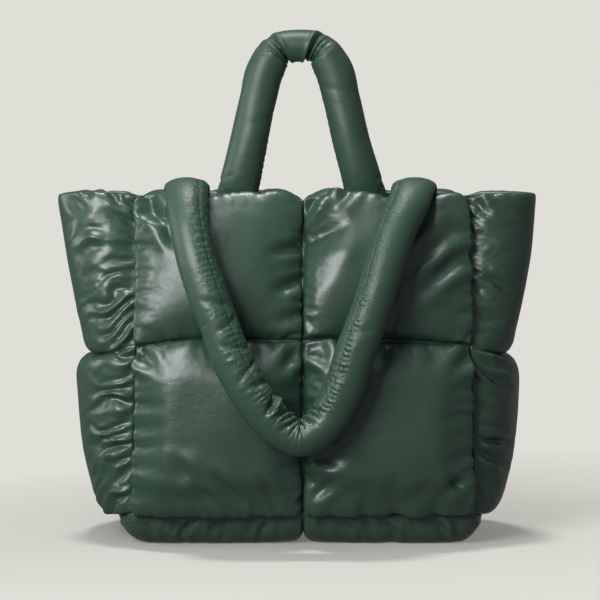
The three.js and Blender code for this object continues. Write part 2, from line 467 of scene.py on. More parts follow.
@dataclass(frozen=True)
class Crease:
    """A crease across a handle: where its middle is, how deep and wide, and how it runs round the tube."""

    x: float
    z: float
    depth: float
    width: float
    angle: float  # degrees round the tube to the crease's middle
    span: float  # degrees round the tube that it reaches to each side
    slope: float = 0.0  # millimetres along the tube for each radian round it
    shoulder: float = 0.0  # share of the depth that the cloth bulges beside it; less than 0 on its near side


HANDLE_SEED = 20
HANDLE_DRIFT = (  # millimetres along the tube and number round it of the patches in which something changes
    (21, 3),  # the puckers' spacing
    (34, 4),  # the puckers' strength
    (3.6, 34),  # the fine crinkles
    (26, 5),  # the filling's lumps
)
SHOULDER = (2.2, 1.3)  # middle and half width of a crease's shoulder, in widths of the crease
WELD = 1e-4  # distance within which the edges of rolled cloth are joined, in millimetres


@dataclass
class StuffedHandle:
    """A cloth tube stuffed with filling, sewn flat at both ends inside the rim."""

    node: str
    sections: tuple[Section, ...]
    creases: tuple[Crease, ...]
    seam_legs: float  # degrees round the tube from its outer side to the long seam, on the legs
    seam_bend: float  # the same in the middle of the handle
    pucker: float  # height of the puckers along the long seam, in millimetres
    crinkle: float  # height of the fine crinkles beside it
    puffing: Puffing = Puffing(0.02, 0.02, pressure=2.0, bending=1.5, frames=14)
    facet: float = 1.9
    sides: int = 60
    hold: float = 0.12  # how firmly the filling holds the cloth, 0 to 1
    sewn_rings: int = 3  # rings at each end that are sewn down
    drape: int = 9  # rings over which the tube's drift off its path is averaged
    crumple: tuple[float, float] = (4.5, 2.5)  # how far crumpled cloth moves at most, and where that eases in
    lump: float = 1.0  # height of the filling's lumps
    groove: tuple[float, float] = (0.8, 1.5)  # depth and half width of the long seam's groove
    puckers: tuple[float, float] = (5.8, 7)  # spacing of the puckers, and how far they reach off the seam
    bend_puckers: tuple[float, float] = (-0.6, 13)  # what the middle of the handle adds to these
    crinkle_band: tuple[float, float] = (6, 14)  # middle and half width of the crinkled band beside the seam
    seam_turn: float = 0.045  # half width of the stretch where the seam turns, as a share of the length
    bend_turn: float = 0.055  # the same for the puckers
    plain_rings: int = 24  # rings at each end over which the relief fades in
    length: float = field(init=False)
    centres: Array = field(init=False)
    tangents: Array = field(init=False)
    facings: Array = field(init=False)
    sizes: Array = field(init=False)

    def __post_init__(self) -> None:
        """Lays the path through the sections, with directions that carry no twist and level ends."""
        knots = np.array([[s.x, s.y, s.z, s.width, s.thick] for s in self.sections], float)
        run = np.concatenate([[0], np.cumsum(np.linalg.norm(np.diff(knots[:, :3], axis=0), axis=1))])
        slopes = np.gradient(knots, run, axis=0)
        self.length = float(run[-1])
        rings = int(self.length / self.facet)
        place = np.linspace(0, run[-1], rings + 1)
        low = np.clip(np.searchsorted(run, place, side="right") - 1, 0, len(run) - 2)
        span = (run[low + 1] - run[low])[:, None]
        t = ((place - run[low])[:, None]) / span
        path = (knots[low] * (1 + 2 * t) * (1 - t) ** 2 + slopes[low] * span * t * (1 - t) ** 2
                + knots[low + 1] * t**2 * (3 - 2 * t) + slopes[low + 1] * span * t**2 * (t - 1))
        self.centres, self.sizes = path[:, :3], path[:, 3:] / 2
        self.tangents = unit(np.gradient(self.centres, axis=0))
        middle = rings // 2
        self.facings = np.zeros_like(self.centres)
        self.facings[middle] = (0, -1, 0)
        for end in (0, rings):
            stride = 1 if end else -1
            for k in range(middle, end, stride):
                ahead = self.facings[k] - self.tangents[k + stride] * (self.facings[k] @ self.tangents[k + stride])
                self.facings[k + stride] = ahead / np.linalg.norm(ahead)
            sideways = np.cross(self.tangents[end], self.facings[end])
            along = np.array([math.copysign(1, sideways[0]), 0, 0])
            twist = math.atan2(np.cross(sideways, along) @ self.tangents[end], sideways @ along)
            for k in range(middle + stride, end + stride, stride):
                turn = twist * (k - middle) / (end - middle)
                across = np.cross(self.tangents[k], self.facings[k])
                self.facings[k] = self.facings[k] * math.cos(turn) + across * math.sin(turn)

    def skin(self, ring: Array, angle: Array) -> Array:
        """Places on the tube's oval skin.

        Args:
            ring: ring numbers.
            angle: angles round the tube; a quarter turn is the side that faces outwards.

        Returns:
            Points in the sewing frame, in millimetres.
        """
        sideways = np.cross(self.tangents[ring], self.facings[ring])
        return (self.centres[ring] + sideways * (self.sizes[ring, :1] * np.cos(angle)[:, None])
                + self.facings[ring] * (self.sizes[ring, 1:] * np.sin(angle)[:, None]))

    def clearance(self, points: Array, gap: float) -> Array:
        """How far points lie inside the tube's skin and a gap around it.

        Args:
            points: places in the sewing frame.
            gap: the gap, in millimetres.

        Returns:
            The depth of each point, or 0 outside.
        """
        flat = points.reshape(-1, 3)
        depth = np.zeros(len(flat))
        radius = self.sizes.mean(1) + gap
        for block in np.array_split(np.arange(len(flat)), max(1, len(flat) // 4000)):
            away = np.linalg.norm(flat[block, None] - self.centres[None, ::3], axis=2) - radius[None, ::3]
            depth[block] = np.maximum(0, -away.min(1))
        return depth.reshape(points.shape[:-1])

    def build(self) -> bpy.types.Object:
        """Rolls cloth into a tube, bends it along the path and lets it crumple.

        Returns:
            The handle.
        """
        rings = len(self.centres) - 1
        cloth, order, around, along = ClothBench.cut(f"{self.node}_tube", self.sides, rings)
        ring_of = np.empty(order.size, int)
        turn_of = np.empty(order.size)
        ring_of[order] = np.round(along * rings).astype(int)
        turn_of[order] = 2 * math.pi * around
        ClothBench.write(cloth, self.skin(ring_of, turn_of))
        for name, values in (("ring", ring_of.astype(float)), ("turn", turn_of)):
            cloth.data.attributes.new(name, "FLOAT", "POINT").data.foreach_set("value", values)
        ClothBench.edit(lambda: bpy.ops.mesh.remove_doubles(threshold=WELD), ClothBench.face_outwards)
        ring, angle = self.lattice(cloth)
        start = ClothBench.read(cloth)
        outward = unit(start - self.centres[ring])
        radius = self.sizes[ring].mean(1)
        run = ring * self.length / rings
        straight = np.stack([radius * np.cos(angle), radius * np.sin(angle), run], -1)
        ends = np.minimum(ring, rings - ring) < self.sewn_rings
        blown = ClothBench.blow_up(
            cloth, start, np.where(ends, 1.0, self.hold), np.zeros(len(ring)), self.puffing, rest=straight
        )
        moved = blown - start
        count = np.bincount(ring, minlength=rings + 1)
        kernel = np.ones(self.drape) / self.drape
        means = np.stack([
            np.convolve(np.bincount(ring, moved[:, a], rings + 1) / count, kernel, "same") for a in range(3)
        ], -1)
        moved -= means[ring]
        reach = np.linalg.norm(moved, axis=1, keepdims=True)
        most, ease = self.crumple
        moved *= soft_limit(reach, np.full_like(reach, most), ease) / np.maximum(reach, 1e-6)
        ClothBench.write(cloth, start + moved + outward * self.relief(ring, angle)[:, None])
        ClothBench.pick(cloth)
        ClothBench.edit(lambda: bpy.ops.mesh.fill_holes(sides=0))
        ClothBench.write(cloth, to_frame(ClothBench.read(cloth)))
        self.mark_seam(cloth, ring, angle)
        ClothBench.finish(cloth)
        return cloth

    @staticmethod
    def lattice(cloth: bpy.types.Object) -> tuple[Array, Array]:
        """Reads where the vertices of the rolled tube lie.

        Args:
            cloth: the tube.

        Returns:
            The ring number and the angle of each vertex.
        """
        values = []
        for name in ("ring", "turn"):
            column = np.empty(len(cloth.data.vertices))
            cloth.data.attributes[name].data.foreach_get("value", column)
            values.append(column)
        return np.round(values[0]).astype(int), values[1]

    def off_seam(self, ring: Array, angle: Array) -> Array:
        """Distance round the tube from the long seam.

        Args:
            ring: ring number of each point.
            angle: angle of each point.

        Returns:
            Millimetres, less than 0 on one side of the seam.
        """
        bend = np.exp(-(((ring / (len(self.centres) - 1) - 0.5) / self.seam_turn) ** 2))
        seam = np.radians(90 + self.seam_legs + (self.seam_bend - self.seam_legs) * bend)
        return ((angle - seam + math.pi) % (2 * math.pi) - math.pi) * self.sizes[ring].mean(1)

    def mark_seam(self, cloth: bpy.types.Object, ring: Array, angle: Array) -> None:
        """Lays texture coordinates along and away from the long seam, in metres.

        Args:
            cloth: the handle.
            ring: ring number of each vertex.
            angle: angle of each vertex.
        """
        layer = cloth.data.uv_layers.active or cloth.data.uv_layers.new(name="seam")
        corners = np.empty(len(cloth.data.loops), int)
        cloth.data.loops.foreach_get("vertex_index", corners)
        off = self.off_seam(ring, angle)[corners]
        round_tube = 2 * math.pi * self.sizes[ring].mean(1)[corners]
        for face in cloth.data.polygons:
            part = slice(face.loop_start, face.loop_start + face.loop_total)
            if np.ptp(off[part]) > round_tube[part].min() / 2:
                off[part] = np.where(off[part] < 0, off[part] + round_tube[part], off[part])
        run = ring[corners] * self.length / (len(self.centres) - 1)
        layer.data.foreach_set("uv", (np.stack([run, off], -1) * MM).reshape(-1))

    def relief(self, ring: Array, angle: Array) -> Array:
        """Groove and puckers of the long seam, fine crinkles beside it, and the creases.

        Args:
            ring: ring number of each point.
            angle: angle of each point.

        Returns:
            Heights above the plain tube, in millimetres.
        """
        rings = len(self.centres) - 1
        off = self.off_seam(ring, angle)
        run = ring * self.length / rings
        bend = np.exp(-(((run / self.length - 0.5) / self.bend_turn) ** 2))
        field_of = (rings + 1, self.sides + 1)
        side = np.round(angle / (2 * math.pi) * self.sides).astype(int)
        wander, strength, fine, lumps = (
            drift(field_of, (int(self.length / pitch), across), HANDLE_SEED + across)[ring, side]
            for pitch, across in HANDLE_DRIFT
        )
        pitch, reach = (plain + added * bend for plain, added in zip(self.puckers, self.bend_puckers))
        ripple = np.cos(2 * math.pi * run / pitch + 4 * wander) * np.clip(0.75 + strength, 0.15, 1.5)
        deep, half = self.groove
        groove = np.exp(-((off / half) ** 2))
        near = np.exp(-((off / reach) ** 2)) * (1 - groove)
        middle, half = self.crinkle_band
        inner = np.exp(-(((off - middle) / half) ** 2))
        height = self.pucker * (1 + 1.3 * bend) * ripple * near + self.crinkle * fine * inner
        height += self.lump * lumps * np.sin(angle / 2) ** 2
        height -= deep * groove
        for crease in self.creases:
            apart = np.hypot(self.centres[:, 0] - crease.x, self.centres[:, 2] - crease.z)
            middle = int(apart.argmin()) * self.length / rings
            turn = (angle - math.radians(crease.angle) + math.pi) % (2 * math.pi) - math.pi
            away = (run - middle - crease.slope * turn) / crease.width
            window = np.exp(-((np.degrees(turn) / crease.span) ** 4))
            hollow = np.exp(-np.abs(away) ** 1.5)
            bulge = np.exp(-(((np.abs(away) - SHOULDER[0]) / SHOULDER[1]) ** 2))
            bulge = bulge * (np.sign(away) == np.sign(crease.shoulder))
            height -= crease.depth * window * (hollow - abs(crease.shoulder) * bulge)
        return height * np.clip(np.minimum(ring, rings - ring) / self.plain_rings, 0, 1)


FRONT_HANDLE = StuffedHandle(
    "front_handle",
    (
        Section(-119, -26, 318, 50, 11), Section(-119, -18.5, 343, 48, 12), Section(-119, -29, 360, 46, 17),
        Section(-118, -51, 361, 44, 23), Section(-116, -70, 349, 42, 30), Section(-114, -83, 330, 40, 36),
        Section(-107, -98, 297, 39, 38), Section(-96, -107, 263, 39, 38), Section(-83, -112, 229, 39, 39),
        Section(-69, -117, 192, 40, 39), Section(-49, -120, 158, 40, 39), Section(-26, -122, 131, 40, 38),
        Section(-3, -122, 119, 40, 36), Section(19, -122, 131, 40, 38), Section(38, -120, 160, 40, 39),
        Section(52, -117, 203, 40, 39), Section(64, -113, 235, 39, 39), Section(75, -107, 267, 39, 38),
        Section(85, -98, 299, 39, 38), Section(98, -83, 331, 40, 36), Section(107, -70, 349, 42, 30),
        Section(112, -51, 361, 44, 23), Section(114, -29, 360, 46, 17), Section(115, -18.5, 343, 48, 12),
        Section(115, -26, 318, 50, 11),
    ),
    (
        Crease(-40, 148, 9.0, 3.0, 150, 48, slope=-6, shoulder=0.4), Crease(-52, 166, 3.0, 3.6, 140, 42, slope=5),
        Crease(-3, 119, 8.0, 2.0, 172, 50, shoulder=-0.3), Crease(-8, 121, 5.0, 1.7, 165, 60, slope=4),
        Crease(-14, 124, 6.5, 1.9, 160, 58, slope=6), Crease(-20, 128, 4.5, 1.8, 158, 50, slope=7),
        Crease(-27, 133, 5.5, 2.0, 158, 48, slope=6), Crease(3, 121, 5.0, 1.7, 168, 52, slope=-4),
        Crease(9, 125, 5.5, 1.9, 165, 50, slope=-7), Crease(16, 130, 4.0, 1.9, 165, 44, slope=-8),
        Crease(23, 136, 3.2, 2.1, 160, 44, slope=-8), Crease(-74, 203, 2.4, 3.0, 120, 40, slope=8),
        Crease(-82, 226, 1.8, 3.0, 118, 40, slope=-6), Crease(-90, 247, 2.0, 4.0, 110, 46, slope=9),
        Crease(-62, 182, 2.4, 3.0, 125, 42, slope=-7), Crease(58, 220, 1.6, 4.5, 100, 45, slope=-8),
    ),
    seam_legs=32, seam_bend=74, pucker=0.6, crinkle=0.6, facet=1.6, sides=52,
)
REAR_HANDLE = StuffedHandle(
    "rear_handle",
    (
        Section(-76, 25, 318, 50, 11), Section(-71, 20, 342, 48, 13), Section(-66, 17, 364, 45, 24),
        Section(-56, 17, 411, 40, 37), Section(-47, 18, 453, 38, 38), Section(-39, 18, 483, 38, 38),
        Section(-27, 18, 502, 35, 37), Section(-3, 18, 508, 32, 37), Section(18, 18, 504, 34, 37),
        Section(30, 18, 487, 38, 38), Section(40, 18, 453, 38, 38), Section(50, 17, 411, 40, 37),
        Section(63, 17, 364, 45, 24), Section(68, 20, 342, 48, 13), Section(73, 25, 318, 50, 11),
    ),
    (
        Crease(-23, 504, 8.5, 1.7, 75, 98, slope=-2.5, shoulder=0.25), Crease(-27.5, 501, 5.0, 1.5, 70, 90, slope=-2.5),
        Crease(-18.5, 505, 3.5, 1.4, 40, 60, slope=-3), Crease(-32, 496, 4.0, 1.8, 135, 32, slope=-5),
        Crease(9, 506.5, 8.5, 1.7, 75, 98, slope=3.8, shoulder=-0.25), Crease(13.5, 505.5, 5.5, 1.5, 75, 92, slope=3),
        Crease(17.5, 504, 5.0, 1.5, 70, 88, slope=2), Crease(21, 501, 2.5, 1.5, 60, 70, slope=1),
        Crease(37, 463, 0.8, 5.0, 80, 60, slope=6), Crease(-52, 430, 0.7, 5.0, 70, 60, slope=-7),
    ),
    seam_legs=-100, seam_bend=-100, pucker=0.4, crinkle=0.25, facet=1.4,
)


# Padded panels


@dataclass(frozen=True)
class Gathers:
    """Cloth drawn up along a seam: pitch, depth and length of its ripples, in millimetres."""

    pitch: float
    depth: float
    reach: float
    slant: float = 0.0  # how far a ripple climbs for each millimetre away from its seam
    stray: float = 5.0  # how far the ripples stray from an even spacing, in radians


@dataclass(frozen=True)
class Lean:
    """How far padding bulges over each edge of a panel, in millimetres; less than 0 keeps it back."""

    left: float = 0.0
    right: float = 0.0
    bottom: float = 0.0
    top: float = 0.0


FOLD_ENDS = 0.35  # share of a fold's depth that is left at its ends
FOLD_LIP = (0.45, 1.9)  # height of the lips beside a fold, in its depths, and how far off they are, in its widths


@dataclass(frozen=True)
class Fold:
    """A crease or, with less than 0 depth, a ridge in a wall's cloth, from place to place, in millimetres."""

    x0: float
    z0: float
    x1: float
    z1: float
    depth: float
    width: float

    def relief(self, points: Array) -> Array:
        """Height that the fold adds.

        Args:
            points: places on the sewing surface.

        Returns:
            The height at each place, in millimetres.
        """
        start, end = np.array([self.x0, self.z0]), np.array([self.x1, self.z1])
        run = end - start
        away = points[..., (0, 2)] - start
        share = np.clip((away @ run) / (run @ run), 0, 1)
        apart = np.linalg.norm(away - share[..., None] * run, axis=-1) / self.width
        taper = FOLD_ENDS + (1 - FOLD_ENDS) * np.sin(math.pi * share)
        return -self.depth * taper * (np.exp(-(apart**1.5)) - FOLD_LIP[0] * np.exp(-((apart - FOLD_LIP[1]) ** 2)))


@dataclass(frozen=True)
class Settling:
    """How blown-up cloth settles on its filling; lengths are in millimetres."""

    smooth: int = 6  # facets over which cloth is averaged to find the pillow under its wrinkles
    calm_smooth: int = 2  # the same for the wrinkles away from the seams
    crisp: float = 1.3  # how far from the seams the wrinkles stay sharp
    lump: float = 58  # size of the filling's lumps
    lump_fullness: tuple[float, float] = (0.8, 0.8)
    wrinkle: float = 9.0  # greatest height of a wrinkle
    wrinkle_ease: float = 6.0
    fold_share: float = 0.5  # share of the folds that is laid in again afterwards
    gather_share: float = 0.25  # the same for the gathers
    least: float = 0.8  # least height, in half thicknesses of a seam
    full: float = 12  # height from which padding closes over the seams fully
    reach: float = 14  # how far from a seam that starts
    uneven: float = 0.15  # how unevenly padding leans over an edge
    ledge_uneven: float = 0.8  # how unevenly it bulges over a level seam
    keep_back: float = 1.6  # how much farther padding is kept back where it has to be
    gap: float = 0.4  # what is kept free beside a seam


SETTLING = Settling()
SAG_SEED, LEAN_SEED, LEDGE_SEED = 100, 200, 300
RIPPLE_PATCH = 24  # size of the patches in which gathers change, in millimetres
STITCH = 3  # distance off a seam from which its gathers start, in millimetres
DOME = (0.9, 0.9)  # fullness of the greatest height of the padding, across and up
INNER_DOME = (0.7, 0.7)  # the same for the inner skin
ON_SEAM = 1e-6


@dataclass
class PaddedPanel:
    """A quilted panel: cloth puffed over filling between the seams of its cells."""

    node: str
    cells: tuple[int, int]
    facets: tuple[int, int]
    puffing: Puffing
    swell: tuple[float, ...]  # height of the puffed cells above the seams, by row, in millimetres
    inner_swell: float
    turn: int  # -1 where across x up points inwards
    seed: int
    upright: Gathers  # along the seams that run up the panel
    level: Gathers  # along the seams that run across it
    lean: Lean = Lean()
    folds: tuple[Fold, ...] = ()
    bulge: tuple[float, float] = (3.5, 3.5)  # how far padding closes over the seams, across and up
    sag: float = 2.2  # how unevenly the filling lies
    fullness: tuple[float, float] = (0.3, 0.3)  # less for steeper edges, across and up
    plateau: tuple[float, ...] = (12.0,)  # how softly the cells flatten out, by row; less for flatter cells
    seam_half: float = 1.6
    edge_gap: float = 0.05
    ledge: float = 0.0  # how far a cell bulges up over the level seam above it
    calm: float = 0.0  # how far, in cells, the finish keeps its puckers off the seams
    spare_reach: float = 0.16  # how far, in cells, the spare cloth reaches off the seams
    seam_share: float = 0.5  # greatest height of the padding on the seams, as a share of the cell's height
    dome: float = 0.56  # what the middle of a cell adds to that
    head_start: float = 0.72  # share of the swell that the cloth starts with
    roughness: float = 0.3  # random part of the cloth's first height, which sets its wrinkles off
    sunk: float = 0.6  # how deep the seams between the cells are drawn in
    inner_crumple: float = 0.5  # share of the wrinkles that the inner skin has
    inner_least: float = 1.0  # least depth of the inner skin

    def sewing(self, across: Array, up: Array) -> Array:
        """Sewing surface of the panel, in millimetres."""
        raise NotImplementedError

    def height(self, across: Array, up: Array) -> Array:
        """Height of the puffed cloth in the middle of each point's cell."""
        rows = np.minimum(up.astype(int), self.cells[1] - 1)
        return np.array(self.swell)[np.minimum(rows, len(self.swell) - 1)]

    def spare(self, across: Array, up: Array) -> Array:
        """Share of the seam slack at each point, from 0 far from all seams to 1 on them."""
        near = np.minimum(np.abs(across - np.round(across)), np.abs(up - np.round(up)))
        return np.exp(-((near / self.spare_reach) ** 2))

    def contact(self, points: Array, normals: Array) -> Array:
        """Moves points off what the panel rests against."""
        return points

    @staticmethod
    def rise(across: Array, up: Array, fullness: tuple[float, float]) -> Array:
        """Rise of the padding: 0 on the seams and 1 in the middle of a cell."""
        return np.abs(np.sin(math.pi * across)) ** fullness[0] * np.abs(np.sin(math.pi * up)) ** fullness[1]

    def envelope(self, across: Array, up: Array) -> Array:
        """Greatest height of the padding, as a share of the cell's height."""
        return self.seam_share + self.dome * self.rise(across, up, DOME)

    def frame(self, across: Array, up: Array) -> tuple[Array, Array, Array, Array]:
        """The sewing surface with its directions.

        Args:
            across: cells from the left.
            up: cells from the bottom.

        Returns:
            Points, outward normals, and unit directions across and up.
        """
        gap = tuple(self.edge_gap / size for size in CELL)
        a = gap[0] + across / self.cells[0] * (self.cells[0] - 2 * gap[0])
        u = gap[1] + up / self.cells[1] * (self.cells[1] - 2 * gap[1])
        points = self.sewing(a, u)
        along, upward = np.gradient(points, axis=1), np.gradient(points, axis=0)
        normals = unit(np.cross(along, upward)) * self.turn
        return points, normals, unit(along), unit(upward)

    def sizes(self, points: Array) -> tuple[float, float]:
        """Measures the cells.

        Args:
            points: the sewing surface.

        Returns:
            Mean width and height of a cell, in millimetres.
        """
        return tuple(
            float(np.linalg.norm(np.diff(points, axis=axis), axis=-1).sum(axis).mean()) / self.cells[1 - axis]
            for axis in (1, 0)
        )

    def patches(self, size: tuple[float, float], pitch: float) -> tuple[int, ...]:
        """How many patches of a pitch lie up and across the panel, with cells of a size."""
        return tuple(int(n * s / pitch) + 1 for n, s in zip(self.cells[::-1], size[::-1]))

    def creasing(self, points: Array) -> Array:
        """Height that the panel's folds add at points of the sewing surface."""
        return sum((fold.relief(points) for fold in self.folds), np.zeros(points.shape[:-1]))

    def gathering(self, points: Array, across: Array, up: Array) -> Array:
        """Ripples along the seams, sharp in their valleys, as heights above the plain pillow.

        Args:
            points: the sewing surface.
            across: cells from the left.
            up: cells from the bottom.

        Returns:
            Heights in millimetres.
        """
        size = self.sizes(points)
        height = np.zeros(across.shape)
        for axis, gathers in enumerate((self.upright, self.level)):
            place, along = (across, up) if axis == 0 else (up, across)
            run = along * size[1 - axis]
            cell = np.minimum(place.astype(int), self.cells[axis] - 1)
            slant = gathers.slant * (1.6 - 1.2 * (along % 1))
            for edge, gap in ((0, place - cell), (1, cell + 1 - place)):
                away = gap * size[axis]
                patches = self.patches(size, RIPPLE_PATCH)
                wander, rough, strength = (
                    drift(across.shape, patches, self.seed * 10 + 4 * axis + 2 * edge + 50 * k) for k in range(3)
                )
                phase = 2 * math.pi * (run + slant * away) / gathers.pitch + gathers.stray * wander + 2.1 * cell
                reach = gathers.reach * (1 + 0.5 * rough)
                window = np.exp(-((away / reach) ** 2)) * (1 - np.exp(-((away / STITCH) ** 2)))
                ripple = 1.7 * np.abs(np.sin(phase / 2)) ** 0.8 - 1 + 0.35 * np.sin(1.7 * phase + 3 * rough)
                height += gathers.depth * np.clip(0.6 + 1.6 * strength, 0.1, 1.6) * window * ripple
        return height

    def settle(self, blown: Array, base: tuple[Array, Array, Array, Array], across: Array, up: Array) -> Array:
        """Keeps the blown-up cloth within its filling's height and its own cell.

        Args:
            blown: cloth after the simulation.
            base: the sewing surface with its directions.
            across: cells from the left.
            up: cells from the bottom.

        Returns:
            The settled places.
        """
        points, normals, along, upward = base
        size = self.sizes(points)
        moved = blown - points
        lift = (moved * normals).sum(-1)
        pillow = blur(lift, SETTLING.smooth)
        most = self.seam_half + self.height(across, up) * self.envelope(across, up)
        patches = self.patches(size, SETTLING.lump)
        lumps = drift(lift.shape, patches, self.seed + SAG_SEED)
        sag = self.sag * lumps * self.rise(across, up, SETTLING.lump_fullness)
        crisp = np.clip(SETTLING.crisp * self.spare(across, up), 0, 1)
        wrinkles = lift * crisp + blur(lift, SETTLING.calm_smooth) * (1 - crisp) - pillow
        rows = np.minimum(up.astype(int), len(self.plateau) - 1)
        lift = soft_limit(pillow, most, np.array(self.plateau)[rows])
        most = np.full_like(lift, SETTLING.wrinkle)
        lift += np.sign(wrinkles) * soft_limit(np.abs(wrinkles), most, SETTLING.wrinkle_ease)
        folds, gathers = self.creasing(points), self.gathering(points, across, up)
        lift += sag + SETTLING.fold_share * folds + SETTLING.gather_share * gathers
        lift = np.maximum(lift, self.seam_half * SETTLING.least)
        settled = points + normals * lift[..., None]
        ramp = np.clip(lift / SETTLING.full, 0, 1) ** 1.5
        uneven = 1 + SETTLING.uneven * drift(lift.shape, tuple(3 * n for n in patches), self.seed + LEAN_SEED)
        along_seam = drift((2, lift.shape[1]), (1, 6 * self.cells[0]), self.seed + LEDGE_SEED)[:1]
        ledge = self.ledge * (1 + SETTLING.ledge_uneven * along_seam)
        leans = ((self.lean.left, self.lean.right), (self.lean.bottom, self.lean.top))
        for axis, (direction, place) in enumerate(((along, across), (upward, up))):
            slide = (moved * direction).sum(-1)
            cell = np.minimum(place.astype(int), self.cells[axis] - 1)
            low, high = (place - cell) * size[axis], (cell + 1 - place) * size[axis]
            over_low, over_high = (
                np.where(cell == end, lean * (uneven if lean > 0 else SETTLING.keep_back), 0)
                for end, lean in zip((0, self.cells[axis] - 1), leans[axis])
            )
            if axis == 1:
                over_low = np.where(cell > 0, -ledge, over_low)
                over_high = np.where(cell < self.cells[1] - 1, ledge, over_high)
            slide += ramp * (self.bulge[axis] + np.maximum(0, over_high)) * np.exp(-((high / SETTLING.reach) ** 2))
            slide -= ramp * (self.bulge[axis] + np.maximum(0, over_low)) * np.exp(-((low / SETTLING.reach) ** 2))
            slide = np.clip(slide, -low + SETTLING.gap - over_low * ramp, high - SETTLING.gap + over_high * ramp)
            settled += direction * slide[..., None]
        return settled

    def build(self) -> bpy.types.Object:
        """Puffs the outer skin, lays the inner skin and sews the two together along the edges.

        Returns:
            The panel.
        """
        outer, order, across, up = ClothBench.cut(f"{self.node}_pad", *self.facets)
        across, up = across * self.cells[0], up * self.cells[1]
        base = self.frame(across, up)
        points, normals = base[0], base[1]
        seams = self.rise(across, up, (1, 1)) < ON_SEAM
        puff = self.seam_half + self.head_start * self.height(across, up) * self.rise(across, up, self.fullness)
        jitter = np.random.default_rng(self.seed).normal(0, self.roughness, puff.shape)
        puff += (self.creasing(points) + self.gathering(points, across, up) + jitter) * ~seams
        flip = order.reshape(-1)
        start = np.empty((order.size, 3))
        start[flip] = (points + normals * puff[..., None]).reshape(-1, 3)
        pins, slack = np.empty(order.size), np.empty(order.size)
        pins[flip] = seams.reshape(-1)
        slack[flip] = self.spare(across, up).reshape(-1)
        if self.turn < 0:
            ClothBench.edit(bpy.ops.mesh.flip_normals)
        blown = ClothBench.blow_up(outer, start, pins, slack, self.puffing)[order]
        settled = self.settle(blown, base, across, up)
        inside = (across > 0) & (across < self.cells[0]) & (up > 0) & (up < self.cells[1])
        drawn = points + normals * np.where(inside, -self.sunk, self.seam_half)[..., None]
        settled = np.where(seams[..., None], drawn, settled)
        settled = self.contact(settled, normals)
        places = np.empty((order.size, 3))
        places[flip] = to_frame(settled).reshape(-1, 3)
        ClothBench.write(outer, places)
        lift = ((settled - points) * normals).sum(-1)
        crumple = self.inner_crumple * (lift - blur(lift, SETTLING.smooth)) * ~seams
        depth = self.seam_half + self.inner_swell * self.rise(across, up, INNER_DOME) + crumple
        depth = np.maximum(depth, self.inner_least)
        inner, order, _, _ = ClothBench.cut(f"{self.node}_inner", *self.facets)
        places[order.reshape(-1)] = to_frame(points - normals * depth[..., None]).reshape(-1, 3)
        ClothBench.write(inner, places)
        for skin in (outer, inner):
            corners = np.empty(2 * len(skin.data.loops))
            skin.data.uv_layers.active.data.foreach_get("uv", corners)
            corners = self.calm + corners.reshape(-1, 2) * self.cells * (1 - 2 * self.calm)
            skin.data.uv_layers.active.data.foreach_set("uv", corners.reshape(-1))
        self.sew(outer, inner)
        ClothBench.finish(outer)
        return outer

    @staticmethod
    def sew(outer: bpy.types.Object, inner: bpy.types.Object) -> None:
        """Joins two skins and bridges their open edges.

        Args:
            outer: the outer skin, which stays.
            inner: the inner skin, which becomes part of it.
        """
        ClothBench.deselect()
        inner.select_set(True)
        outer.select_set(True)
        bpy.context.view_layer.objects.active = outer
        bpy.ops.object.join()
        bpy.ops.object.mode_set(mode="EDIT")
        bpy.ops.mesh.select_mode(type="EDGE")
        bpy.ops.mesh.select_all(action="DESELECT")
        bpy.ops.mesh.select_non_manifold(
            extend=False, use_wire=False, use_boundary=True,
            use_multi_face=False, use_non_contiguous=False, use_verts=False,
        )
        bpy.ops.mesh.bridge_edge_loops()
        bpy.ops.object.mode_set(mode="OBJECT")


@dataclass
class WallPanel(PaddedPanel):
    """The front or back wall, of two columns and two rows of cells."""

    side: Side = Side.FRONT
    handle: StuffedHandle | None = None
    spare_reach: float = 0.12
    level_spare: float = 0.3  # share of the spare cloth that the level seams have
    lower_dome: float = 0.2  # the dome of the lower row
    press_rounds: int = 8
    press: float = 0.8  # share of the overlap with the handle that each round takes away
    handle_gap: float = 0.8

    def sewing(self, across: Array, up: Array) -> Array:
        """Sewing surface of the wall."""
        return PLAN.wall(self.side, across, up)

    def spare(self, across: Array, up: Array) -> Array:
        """Spare cloth, mostly along the upright seams.

        Args:
            across: cells from the left.
            up: cells from the bottom.

        Returns:
            Share of the seam slack at each point, 0 to 1.
        """
        beside, above = (np.abs(place - np.round(place)) for place in (across, up))
        near, level = (np.exp(-((away / self.spare_reach) ** 2)) for away in (beside, above))
        return np.maximum(near, self.level_spare * level)

    def envelope(self, across: Array, up: Array) -> Array:
        """Greatest height of the padding, which is flatter in the lower row."""
        dome = np.where(up < 1, self.lower_dome, self.dome)
        return self.seam_share + self.dome - dome * (1 - self.rise(across, up, DOME))

    def contact(self, points: Array, normals: Array) -> Array:
        """Presses the padding in under the handle that hangs over the wall.

        Args:
            points: the settled cloth.
            normals: outward directions of the sewing surface.

        Returns:
            The places off the handle.
        """
        if self.handle:
            for _ in range(self.press_rounds):
                points = points - normals * (self.press * self.handle.clearance(points, self.handle_gap))[..., None]
        return points


